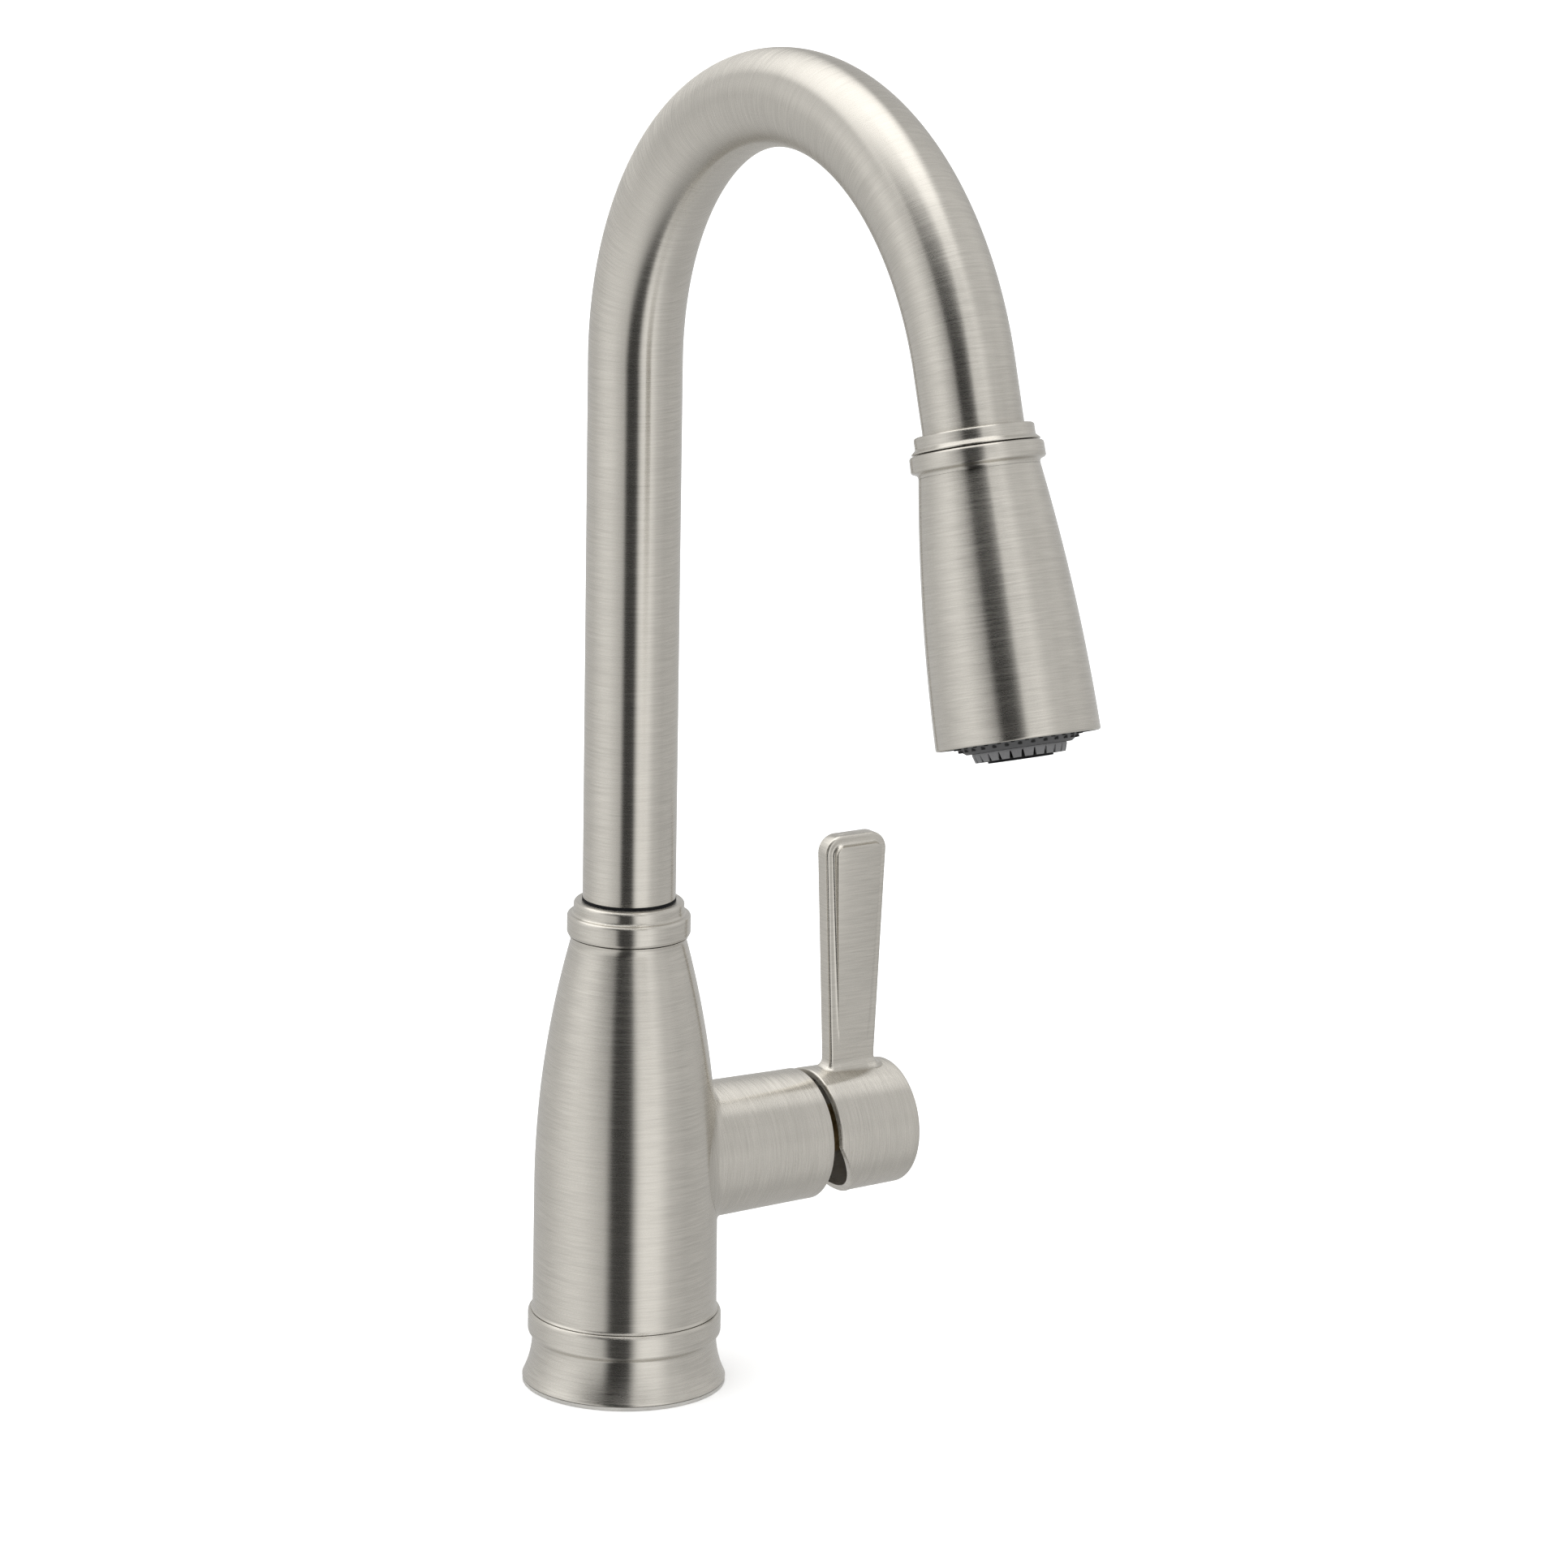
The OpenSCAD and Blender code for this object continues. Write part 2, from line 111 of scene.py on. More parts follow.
def make_camera():
    """The camera, from its place, heading, dip and roll. Gives back its heading."""
    heading, dip, roll = (math.radians(a) for a in (32.617, 13.974, 1.0))
    place = Vector((-931.6, -1536.2, 624.5))
    level = Vector((math.cos(heading), -math.sin(heading), 0))
    ahead = Vector((math.sin(heading), math.cos(heading), 0))
    forward = ahead * math.cos(dip) - Vector((0, 0, math.sin(dip)))
    upright = level.cross(forward)
    right = math.cos(roll) * level + math.sin(roll) * upright
    up = math.cos(roll) * upright - math.sin(roll) * level
    data = bpy.data.cameras.new("camera")
    data.sensor_width = 36
    data.lens = 150.43
    data.clip_end = 50
    camera = bpy.data.objects.new("camera", data)
    turn = Matrix((right, up, -forward)).transposed().to_4x4()
    camera.matrix_world = Matrix.Translation(place * MM) @ turn
    bpy.context.collection.objects.link(camera)
    bpy.context.scene.camera = camera
    return heading


camera_heading = make_camera()


# ---- node graphs ----

def add(tree, kind, inputs=None, **settings):
    """Adds a shader node. An input is a value, or the output socket that it is linked to."""
    node = tree.nodes.new("ShaderNode" + kind)
    for key, value in settings.items():
        setattr(node, key, value)
    for key, value in (inputs or {}).items():
        if isinstance(value, bpy.types.NodeSocket):
            tree.links.new(value, node.inputs[key])
        else:
            node.inputs[key].default_value = value
    return node


def maths(tree, operation, a, b=0.0):
    """Output of a Math node."""
    return add(tree, "Math", {0: a, 1: b}, operation=operation).outputs[0]


def ramp(tree, value, stops):
    """Output of a ramp with stops (place, grey)."""
    node = add(tree, "ValToRGB", {0: value})
    while len(node.color_ramp.elements) < len(stops):
        node.color_ramp.elements.new(1.0)
    for element, (place, grey) in zip(node.color_ramp.elements, stops):
        element.position = place
        element.color = (grey, grey, grey, 1)
    return node.outputs[0]


def span(tree, value, low, high, to_low=0.0, to_high=1.0):
    """Value of a Map Range node."""
    inputs = {"Value": value, "From Min": low, "From Max": high, "To Min": to_low, "To Max": to_high}
    return add(tree, "MapRange", inputs).outputs[0]


def grain(tree, place, scale, detail=2.0, roughness=0.5):
    """Noise from 0 to 1, with a scale for each axis in features per metre."""
    stretched = add(tree, "VectorMath", {0: place, 1: scale}, operation="MULTIPLY").outputs[0]
    inputs = {"Vector": stretched, "Scale": 1.0, "Detail": detail, "Roughness": roughness}
    return add(tree, "TexNoise", inputs).outputs["Fac"]


def tinted(tree, colour, factor):
    """A colour times a grey factor."""
    inputs = {"Factor": 1.0, 6: (*colour, 1), 7: factor}
    return add(tree, "Mix", inputs, data_type="RGBA", blend_type="MULTIPLY").outputs[2]


def new_material(name, metallic, roughness, **constants):
    """An empty Principled material: the material, its tree and its shader."""
    material = bpy.data.materials.new(name)
    material.use_nodes = True
    tree = material.node_tree
    shader = tree.nodes["Principled BSDF"]
    shader.inputs["Metallic"].default_value = metallic
    shader.inputs["Roughness"].default_value = roughness
    for key, value in constants.items():
        shader.inputs[key.replace("_", " ")].default_value = value
    return material, tree, shader


def finish_material(tree, shader, colour, roughness, height, depth, strength):
    """Links colour, roughness and a bump of that depth, in metres, and strength."""
    tree.links.new(colour, shader.inputs["Base Color"])
    tree.links.new(roughness, shader.inputs["Roughness"])
    bump = add(tree, "Bump", {"Height": height, "Distance": depth, "Strength": strength})
    tree.links.new(bump.outputs[0], shader.inputs["Normal"])


# ---- materials ----

def brushed_nickel():
    """Warm brushed nickel. Its lines run around each piece, and stretch the highlights across them."""
    material, tree, shader = new_material("brushed_nickel", 1.0, 0.27, Anisotropic=1.0)
    place = add(tree, "Attribute", attribute_name="brush").outputs["Vector"]
    lines = grain(tree, place, (95, 95, 2300), 4, 0.62)
    scratches = grain(tree, place, (70, 70, 5200), 2, 0.5)
    clouds = grain(tree, place, (38, 38, 60), 3, 0.55)
    drift = span(tree, clouds, 0.3, 0.7, -0.02, 0.02)
    tone = maths(tree, "ADD", span(tree, lines, 0.25, 0.75, 0.86, 1.13), drift)
    tone = maths(tree, "SUBTRACT", tone, span(tree, scratches, 0.66, 0.82, 0.0, 0.2))
    roughness = span(tree, lines, 0.2, 0.8, 0.23, 0.31)
    height = maths(tree, "ADD", lines, maths(tree, "MULTIPLY", scratches, 0.6))
    colour = tinted(tree, (0.625, 0.597, 0.543), tone)
    finish_material(tree, shader, colour, roughness, height, 0.00001, 0.4)
    tangent = add(tree, "Tangent", direction_type="UV_MAP", uv_map="brush_uv")
    tree.links.new(tangent.outputs[0], shader.inputs["Tangent"])
    return material


def turned_metal(name, colour, roughness, metallic=1.0):
    """Metal with fine tool marks and light stains. A satin plating is less metallic."""
    material, tree, shader = new_material(name, metallic, roughness, Anisotropic=0.0)
    place = add(tree, "TexCoord").outputs["Object"]
    marks = grain(tree, place, (300, 300, 3000), 2)
    stains = grain(tree, place, (90, 90, 90), 4)
    drift = span(tree, stains, 0.3, 0.7, -0.1, 0.04)
    tone = maths(tree, "ADD", span(tree, marks, 0.3, 0.7, 0.9, 1.04), drift)
    rough = span(tree, stains, 0.2, 0.8, roughness - 0.06, roughness + 0.1)
    finish_material(tree, shader, tinted(tree, colour, tone), rough, marks, 0.00003, 0.4)
    return material


def moulded(name, colour, roughness, grain_size=0.35, gloss=0.5):
    """Moulded plastic or rubber with a fine grain and slight mottling. grain_size is in millimetres."""
    material, tree, shader = new_material(name, 0.0, roughness, Specular_IOR_Level=gloss)
    place = add(tree, "TexCoord").outputs["Object"]
    per_metre = 1 / (grain_size * MM)
    fine = grain(tree, place, (per_metre,) * 3, 2)
    mottle = grain(tree, place, (140, 140, 140), 3)
    drift = span(tree, fine, 0.3, 0.7, -0.05, 0.05)
    tone = maths(tree, "ADD", span(tree, mottle, 0.3, 0.7, 0.92, 1.08), drift)
    rough = span(tree, mottle, 0.2, 0.8, roughness - 0.05, roughness + 0.08)
    finish_material(tree, shader, tinted(tree, colour, tone), rough, fine, 0.00004, 0.5)
    return material


def notch_shaded_selector():
    """Grey plastic of the selector ring, darkened to black in the depth of the notches between its teeth
    as painted shade.
    The depth is told from the distance to the wand's axis."""
    material, tree, shader = new_material("selector_plastic_notch_shade", 0.0, 0.45)
    place = add(tree, "TexCoord").outputs["Object"]
    spoke = add(tree, "VectorMath", {0: place, 1: leg.translation * MM}, operation="SUBTRACT").outputs[0]
    along = add(tree, "VectorMath", {0: spoke, 1: wand_axis}, operation="DOT_PRODUCT").outputs["Value"]
    reach = add(tree, "VectorMath", {0: spoke}, operation="LENGTH").outputs["Value"]
    squares = [maths(tree, "MULTIPLY", v, v) for v in (reach, along)]
    radius = maths(tree, "SQRT", maths(tree, "SUBTRACT", *squares))
    # Painted shade: the plastic is darkened to near black below the outer edge of the notches
    painted_notch_shade = span(tree, span(tree, radius, 11.35 * MM, 11.65 * MM), 0, 1, 0.04, 1)
    fine = grain(tree, place, (2800, 2800, 2800), 2)
    tone = maths(tree, "MULTIPLY", painted_notch_shade, span(tree, fine, 0.3, 0.7, 0.9, 1.1))
    rough = span(tree, fine, 0.2, 0.8, 0.4, 0.52)
    finish_material(tree, shader, tinted(tree, (0.12, 0.12, 0.122), tone), rough, fine, 0.00003, 0.4)
    return material


def braided(name):
    """Grey nylon braid: two sets of crossing yarns from the hose's own coordinates."""
    along_yarns, around_yarns = 60, 16    # waves for each unit of brush_uv
    material, tree, shader = new_material(name, 0.0, 0.55, Sheen_Weight=0.2)
    uv = add(tree, "UVMap", uv_map="brush_uv").outputs[0]
    parts = add(tree, "SeparateXYZ", {0: uv})
    along = maths(tree, "MULTIPLY", parts.outputs[0], TAU * along_yarns)
    around = maths(tree, "MULTIPLY", parts.outputs[1], TAU * around_yarns)
    one = maths(tree, "SINE", maths(tree, "ADD", along, around))
    two = maths(tree, "SINE", maths(tree, "SUBTRACT", along, around))
    weave = maths(tree, "MAXIMUM", one, two)
    tone = span(tree, weave, -0.4, 1.0, 0.35, 1.1)
    fibre = grain(tree, uv, (9000, 60, 1), 2)
    tone = maths(tree, "MULTIPLY", tone, span(tree, fibre, 0.2, 0.8, 0.85, 1.15))
    rough = span(tree, fibre, 0.2, 0.8, 0.5, 0.65)
    finish_material(tree, shader, tinted(tree, (0.2, 0.2, 0.205), tone), rough, weave, 0.0003, 0.8)
    return material


NICKEL = brushed_nickel()
BRASS = turned_metal("machined_brass", (0.72, 0.53, 0.27), 0.3)
STEEL = turned_metal("turned_steel", (0.62, 0.62, 0.62), 0.28)
# Black plastic, darkened beyond the plastic's own colour as painted shade of the narrow gaps around the
# washers
DARK_WITH_GAP_SHADE = moulded("black_plastic_gap_shade", (0.007, 0.007, 0.008), 0.6, gloss=0.12)
GREY = moulded("dark_grey_plastic", (0.043, 0.043, 0.044), 0.5)
PALE = moulded("pale_gasket", (0.365, 0.355, 0.333), 0.55)
RUBBER = moulded("seal_rubber", (0.012, 0.012, 0.012), 0.62, 0.2)
# Dull unplated metal for the inner faces, made far darker than bare metal as painted shade of the
# hollows
INSIDE_PAINTED_SHADE = turned_metal("dull_inside_painted_shade", (0.07, 0.068, 0.065), 0.6)
BRAID = braided("hose_braid")
NOTCH_SHADED_SELECTOR = notch_shaded_selector()
PLAIN_NICKEL = turned_metal("plain_nickel", (0.62, 0.6, 0.552), 0.3)
SATIN = turned_metal("satin_plating", (0.7, 0.69, 0.66), 0.35, 0.4)

SLOT_MATERIALS = {
    "brushed_nickel": NICKEL, "cast_brass": BRASS, "plain_steel": STEEL, "dark_plastic": DARK_WITH_GAP_SHADE,
    "grey_plastic": GREY, "pale_plastic": PALE, "seal_rubber": RUBBER, "hose_braid": BRAID,
}
NODE_MATERIALS = {"screw_cover": PLAIN_NICKEL, "bonnet_nut": SATIN}
for part in frame["record"]["subparts"]:
    for slot in frame["nodes"][part["node"]].material_slots:
        slot.material = NODE_MATERIALS.get(part["node"], SLOT_MATERIALS[part["material_slot"]])


# ---- outlines ----

def rounded(corners, steps=8):
    """Points of a closed outline through corners (x, y) or (x, y, fillet), rounded by their fillets."""
    points = []
    for i, corner in enumerate(corners):
        here = Vector(corner[:2])
        fillet = corner[2] if len(corner) > 2 else 0
        if not fillet:
            points.append(here)
            continue
        before = (Vector(corners[i - 1][:2]) - here).normalized()
        after = (Vector(corners[(i + 1) % len(corners)][:2]) - here).normalized()
        half = before.angle(after) / 2
        centre = here + (before + after).normalized() * fillet / math.sin(half)
        spoke = here + before * fillet / math.tan(half) - centre
        side = 1 if before.x * after.y < before.y * after.x else -1
        for k in range(steps + 1):
            turn = Matrix.Rotation(side * (math.pi - 2 * half) * k / steps, 2)
            points.append(centre + turn @ spoke)
    return points


def arc(centre, radius, start, end, steps):
    """Points on a circle from the angle start to the angle end, in radians."""
    angles = [start + (end - start) * k / steps for k in range(steps + 1)]
    return [(centre[0] + radius * math.cos(a), centre[1] + radius * math.sin(a)) for a in angles]


# ---- meshes ----

UV_PER_MM = 0.01


def finish_mesh(name, bm, materials):
    """An object from a bmesh in millimetres, with smooth faces and crisp edges."""
    bmesh.ops.recalc_face_normals(bm, faces=bm.faces)
    bmesh.ops.scale(bm, vec=(MM, MM, MM), verts=bm.verts)
    mesh = bpy.data.meshes.new(name)
    bm.to_mesh(mesh)
    bm.free()
    for material in materials:
        mesh.materials.append(material)
    mesh.shade_smooth()
    mesh.set_sharp_from_angle(angle=math.radians(32))
    obj = bpy.data.objects.new(name, mesh)
    bpy.context.collection.objects.link(obj)
    return obj


class Skin:
    """Collects grids of points, with their brush coordinates, in one bmesh."""

    def __init__(self):
        self.bm = bmesh.new()
        self.brush = self.bm.verts.layers.float_vector.new("brush")
        self.uv = self.bm.loops.layers.uv.new("brush_uv")

    def point(self, place, brush):
        """Adds a point. brush is in millimetres."""
        vert = self.bm.verts.new(place)
        vert[self.brush] = Vector(brush) * MM
        return vert

    def face(self, corners, material=0):
        """Adds a face from (vert, u, v) corners. At a pole, two with the same vert count as one."""
        where = {c[0]: c[1:] for c in corners}
        if len(where) < 3:
            return
        made = self.bm.faces.new(list(where))
        made.material_index = material
        for loop in made.loops:
            loop[self.uv].uv = where[loop.vert]

    def wrap(self, rows, lengths, closed=True, material=lambda row: 0):
        """Faces between rows of verts that close around, and from the last row to the first if closed.
        lengths are the running lengths at the rows, in millimetres. material(row) is a face's slot."""
        count = max(len(row) for row in rows)
        for i in range(len(rows) if closed else len(rows) - 1):
            low, high = rows[i], rows[(i + 1) % len(rows)]
            for j in range(count):
                k = (j + 1) % count
                v0, v1 = j / count, (j + 1) / count
                u0, u1 = lengths[i] * UV_PER_MM, lengths[i + 1] * UV_PER_MM
                self.face([
                    (low[j % len(low)], u0, v0), (low[k % len(low)], u0, v1),
                    (high[k % len(high)], u1, v1), (high[j % len(high)], u1, v0),
                ], material(i))


def running_length(outline, closed=True):
    """Length along an outline up to each point, and once round if closed."""
    lengths = [0.0]
    loop = list(outline) + ([outline[0]] if closed else [])
    for a, b in zip(loop, loop[1:]):
        lengths.append(lengths[-1] + (Vector(b) - Vector(a)).length)
    return lengths


def lathe(skin, outline, place, parts=192, inside=None):
    """A solid of revolution of an outline of (radius, height). Points on the axis make poles.
    inside(point) is true where a stretch takes the skin's second material."""
    outline = [Vector(p) for p in outline]
    closed = outline[0].x > 0
    lengths = running_length(outline, closed)
    rows = []
    for (radius, height), length in zip(outline, lengths):
        around = parts if radius > 0 else 1
        row = []
        for j in range(around):
            turn = TAU * j / parts
            spot = Vector((radius * math.cos(turn), radius * math.sin(turn), height))
            row.append(skin.point(place @ spot, (spot.x, spot.y, length)))
        rows.append(row)
    middle = [(a + b) / 2 for a, b in zip(outline, outline[1:] + outline[:1])]
    skin.wrap(rows, lengths, closed, lambda i: 1 if inside and inside(middle[i]) else 0)


def turned_piece(name, body, outline, nodes, place=Matrix(), inside=None):
    """A whole piece made by one lathe, in place of CAD nodes."""
    skin = Skin()
    lathe(skin, outline, place, inside=inside)
    # The second material is the dark inner one, with painted shade of the hollows
    mount(finish_mesh(name, skin.bm, [NICKEL, INSIDE_PAINTED_SHADE]), body, nodes)


def mount(obj, body, nodes):
    """Puts a piece on its body, in place of CAD nodes."""
    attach(obj, body)
    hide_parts(*nodes)


# ---- foot, body and collar ----

waist_r = 26.5
seam = 0.06                         # half of the fine gap between two pieces that meet
bead_r = 27.8
bead_low, bead_high = 13.6, 20.9    # where the bead starts to swell and where it starts to narrow
bead_slope = 1.45                   # height over which it does so
collar_wide = collar_high.x


def bead_edge(z):
    """Radius of the bead's upper slope at the height of the seam that crosses it."""
    return bead_r - (z - bead_high) * (bead_r - waist_r) / bead_slope


def make_base_ring():
    """The flared foot with the bead above it."""
    flare, flare_z = 29, 14             # radius of the flare's arc, and the height of its centre
    short = 0.03                        # how far the arc stops short of upright, in radians
    chamfer = 0.3                       # along the foot's lower edge
    centre = Vector((waist_r + flare, flare_z))
    foot_r, foot_z, top = foot_high.x, foot_low.z, foot_high.z - seam
    start = math.pi + math.acos((centre.x - foot_r) / flare)
    outline = [(bore_r, foot_z), (foot_r - chamfer, foot_z, 0.2), (foot_r, foot_z + chamfer, 0.2)]
    outline += arc(centre, flare, start, math.pi + short, 20)
    outline += [(waist_r, bead_low, 0.9), (bead_r, bead_low + bead_slope, 1.5), (bead_r, bead_high, 1.5)]
    outline += [(bead_edge(top), top, 0.12), (bore_r, top)]
    turned_piece("foot_ring", "base", rounded(outline), ["base_ring"])


def body_profile(z):
    """Radius of the bottle at a height above the bead: a slight taper, then a long curve to the neck."""
    start_z, shoulder_z, curve, taper = 22.4, 57.4, 285, 0.2
    if z <= shoulder_z:
        return waist_r - taper * (z - start_z) / (shoulder_z - start_z)
    return waist_r - taper - curve + math.sqrt(curve ** 2 - (z - shoulder_z) ** 2)


def make_body():
    """The bottle with its side hub. The hub's root is filleted to the bottle."""
    low, top = body_low.z + seam, body_high.z
    hollow_r, neck_z, deep_z = 18, 106, 88  # the hollow widens below the neck, and again below deep_z
    side_z, count = 24, 100
    flare_z = top - 1.5                     # where the neck turns out to the collar
    outline = [(bore_r, low), (bead_edge(low), low, 0.12), (waist_r, bead_high + bead_slope, 0.9)]
    heights = [side_z + (flare_z - side_z) * k / count for k in range(count + 1)]
    outline += [(body_profile(z), z) for z in heights]
    outline += [
        (body_profile(flare_z) + 0.15, flare_z + 0.7, 0.8), (collar_wide - 0.6, top - seam, 0.15),
        (neck_bore, top - seam), (neck_bore, neck_z), (hollow_r, neck_z), (hollow_r, deep_z),
        (bore_r, deep_z),
    ]
    skin = Skin()
    lathe(skin, rounded(outline), Matrix(), 256, lambda p: p.x < body_profile(p.y) - 1.5)
    make_hub(skin)
    # The bottle's and the hub's inner faces take the dark inner material, with painted shade
    piece = finish_mesh("body_shell", skin.bm, [NICKEL, INSIDE_PAINTED_SHADE])
    mount(piece, "base", ["body_shell"])


def make_hub(skin):
    """The hub's shell, in the same mesh as the bottle."""
    root_r, rim_r, fillet = 19.6, 19.15, 2.2
    straight_end = hub_end - 4          # where the straight wall passes to the rim
    parts, fillet_steps, wall_steps = 192, 20, 12
    rim = rounded([
        (rim_r, straight_end), (rim_r, hub_end, 0.5),
        (chamber_r, hub_end, 0.5), (chamber_r, straight_end),
    ])
    rows, turns = [], [TAU * j / parts for j in range(parts)]

    def wall_x(radius, turn):
        """Where the bottle's surface is, at a radius and turn about the hub's axis."""
        y, z = radius * math.sin(turn), hub_z - radius * math.cos(turn)
        return math.sqrt(body_profile(z) ** 2 - y ** 2)

    def add_row(place):
        """A row of points from (radius, x) at each turn, with x as the length along the brush."""
        row = []
        for turn in turns:
            radius, x = place(turn)
            spot = Vector((radius * math.cos(turn), radius * math.sin(turn), x))
            row.append(skin.point(hub @ spot, spot))
        rows.append(row)

    add_row(lambda t: (chamber_r, wall_x(chamber_r, t) - 3))
    add_row(lambda t: (root_r + fillet, wall_x(root_r + fillet, t) - 1))
    for k in range(fillet_steps + 1):
        bow = math.pi / 2 * k / fillet_steps
        out, rise = fillet * (1 - math.sin(bow)), fillet * (1 - math.cos(bow))
        add_row(lambda t: (root_r + out, wall_x(root_r + out, t) + rise))
    for k in range(1, wall_steps):
        share = k / wall_steps
        add_row(lambda t: (
            root_r + (rim_r - root_r) * share,
            wall_x(root_r, t) + fillet + (straight_end - wall_x(root_r, t) - fillet) * share,
        ))
    for radius, x in rim:
        add_row(lambda t: (radius, x))
    lengths = [3 * i for i in range(len(rows) + 1)]
    skin.wrap(rows, lengths, True, lambda i: 1 if i >= len(rows) - 2 else 0)


def make_collar():
    """The two-step collar: a wide band, and a narrow one with a rounded top."""
    low, top = collar_low.z, collar_high.z
    foot, step = low + 0.3, low + 6.4   # lower edges of the wide and the narrow band
    wide, narrow = collar_wide, collar_wide - 1.85
    neck_r = body_profile(low)
    outline = [
        (neck_bore, low), (neck_r, low), (neck_r, foot), (wide - 0.35, foot, 0.15),
        (wide, foot + 0.75, 0.6), (wide, step, 0.95), (narrow, step, 0.88), (narrow, top, 1.1),
        (neck_bore, top, 0.2),
    ]
    turned_piece("collar", "base", rounded(outline, 12), ["collar"])


make_base_ring()
make_body()
make_collar()


# ---- spout ----

def bend_frame(angle):
    """A frame on the bend's centre line, with its Z along the tube."""
    place = Matrix.Translation((0, -bend_r, bend_z)) @ Matrix.Rotation(angle, 4, "X")
    return place @ Matrix.Translation((0, bend_r, 0))


def route(start_z, end_t):
    """Frames along the riser, the bend and the drop leg, each with its length from start_z."""
    step, turns = 3.0, 160
    rise = bend_z - start_z
    count = max(2, round(rise / step))
    heights = [rise * k / count for k in range(count)]
    frames = [(Matrix.Translation((0, 0, start_z + h)), h) for h in heights]
    for k in range(turns + 1):
        angle = bend_angle * k / turns
        frames.append((bend_frame(angle), rise + bend_r * angle))
    bend_length = rise + bend_r * bend_angle
    if end_t > 0:
        count = max(2, round(end_t / step))
        for k in range(1, count + 1):
            t = end_t * k / count
            frames.append((leg @ Matrix.Translation((0, 0, t)), bend_length + t))
    return frames


def sweep(skin, frames, outer, inner, parts=160):
    """A tube wall along frames."""
    rows, lengths = [], []
    stations = [(f, s, outer) for f, s in frames] + [(f, s, inner) for f, s in reversed(frames)]
    for place, length, radius in stations:
        row = []
        for j in range(parts):
            turn = TAU * j / parts
            spot = Vector((radius * math.cos(turn), radius * math.sin(turn), 0))
            row.append(skin.point(place @ spot, (spot.x, spot.y, length)))
        rows.append(row)
        lengths.append(length)
    lengths.append(lengths[0])
    half = len(frames)
    skin.wrap(rows, lengths, True, lambda i: 1 if i >= half - 1 else 0)


tip_start, tip_end = 16.6, 21.0
tip_r, tip_flare_r = 15.7, 16.75
tube_bore = tube_r - tube_wall


def make_spout():
    """The gooseneck, down to the ring at its end."""
    skin = Skin()
    sweep(skin, route(tube_low.z, tip_start + 2), tube_r, tube_bore)
    # The tube's inner wall takes the dark inner material, with painted shade
    piece = finish_mesh("spout_tube", skin.bm, [NICKEL, INSIDE_PAINTED_SHADE])
    mount(piece, "spout", ["spout_tube"])


def make_tip():
    """The ring that ends the spout, flared towards the wand."""
    outline = [
        (tube_bore, tip_start), (tube_r, tip_start), (tip_r, tip_start, 0.7),
        (tip_r, tip_end - 1.3, 0.9), (tip_flare_r, tip_end - 0.35, 0.3), (tip_flare_r, tip_end, 0.1),
        (tube_bore, tip_end, 0.3),
    ]
    inner = lambda p: p.x < tube_bore + 0.1
    turned_piece("tip_ring", "spout", rounded(outline), ["tip_sleeve"], leg, inner)


make_spout()
make_tip()


# ---- wand ----

wand_joint, wand_end = 26.3, 97.2
ring_start = tip_end + 0.35
ring_r = 17.6


def wand_radius(t):
    """Radius of the wand's flare at a distance t from the end of the bend."""
    return 21.5 - (105 - t) ** 2 / 1076


def make_wand_ring():
    """The band at the wand's top. It runs out in a fillet to the flare."""
    bore, end = 13, wand_joint + 0.9
    root = wand_radius(end)
    outline = [
        (bore, ring_start), (ring_r - 0.1, ring_start, 0.8), (ring_r, wand_joint - 0.7, 0.8),
        (root, wand_joint, 0.9), (root, end), (bore, end),
    ]
    turned_piece("wand_ring", "wand", rounded(outline), ["wand_ring"], leg)


def make_wand_shell():
    """The flared shell, open below."""
    top, wall, bore = wand_joint + 0.95, 1.5, 12
    count = 48
    steps = [top + (wand_end - top) * k / count for k in range(count)]
    outline = [(wand_radius(t), t) for t in steps]
    outline += [(wand_radius(wand_end), wand_end, 0.6), (wand_radius(wand_end) - wall, wand_end, 0.5)]
    outline += [(wand_radius(t) - wall, t) for t in reversed(steps[2:])]
    outline += [(bore, steps[2]), (bore, top)]
    inner = lambda p: p.x < wand_radius(p.y) - wall / 2 and p.y > top + 0.5
    turned_piece("wand_shell", "wand", rounded(outline), ["wand_shell"], leg, inner)


def make_selector():
    """The ring that switches the spray, with notches that widen towards the outlet."""
    start, end = 99.06, extent_on_leg("selector_ring")
    outer, tip, bore, deep = 12.3, 11.7, 8.6, 10.5
    teeth, tooth_parts = 24, 5
    pitch = TAU / teeth
    narrow, wide = 0.14, 0.34           # a notch's share of the pitch at its root and at the outlet
    plain = 0.1                         # the same stretch of the pitch where there is no notch
    bevel = 0.3                         # at the mouth of the bore

    def ring(t, radius, floor, gap):
        """A row of (radius, turn, t). Its notches take the share gap of the pitch, down to floor."""
        half = gap * pitch / 2
        width = pitch - 2 * half
        row = []
        for tooth in range(teeth):
            centre = tooth * pitch
            row += [(radius, centre - half), (floor, centre - half * 0.5), (floor, centre + half * 0.5)]
            row += [(radius, centre + half + width * k / tooth_parts) for k in range(tooth_parts)]
        return [(r, turn, t) for r, turn in row]

    rows = [
        ring(start, bore, bore, plain), ring(start, outer, outer, plain),
        ring(start + 0.4, outer, outer, plain), ring(start + 0.6, outer - 0.05, deep, narrow),
        ring(end, tip, deep, wide), ring(end, bore + bevel, bore + bevel, 0.2),
        ring(end - bevel, bore, bore, plain),
    ]
    skin = Skin()
    verts = []
    for row in rows:
        spots = [Vector((r * math.cos(turn), r * math.sin(turn), t)) for r, turn, t in row]
        verts.append([skin.point(leg @ spot, spot) for spot in spots])
    skin.wrap(verts, [2.0 * i for i in range(len(rows) + 1)])
    piece = finish_mesh("selector_ring_teeth", skin.bm, [NOTCH_SHADED_SELECTOR])
    mount(piece, "selector", ["selector_ring"])


make_wand_ring()
make_wand_shell()
make_selector()


# ---- hose ----

hose_r = extent("spray_hose")[1][0]
drop_start, drop_end = -9.0, 0.55   # stretch at the bend's end that follows the wand


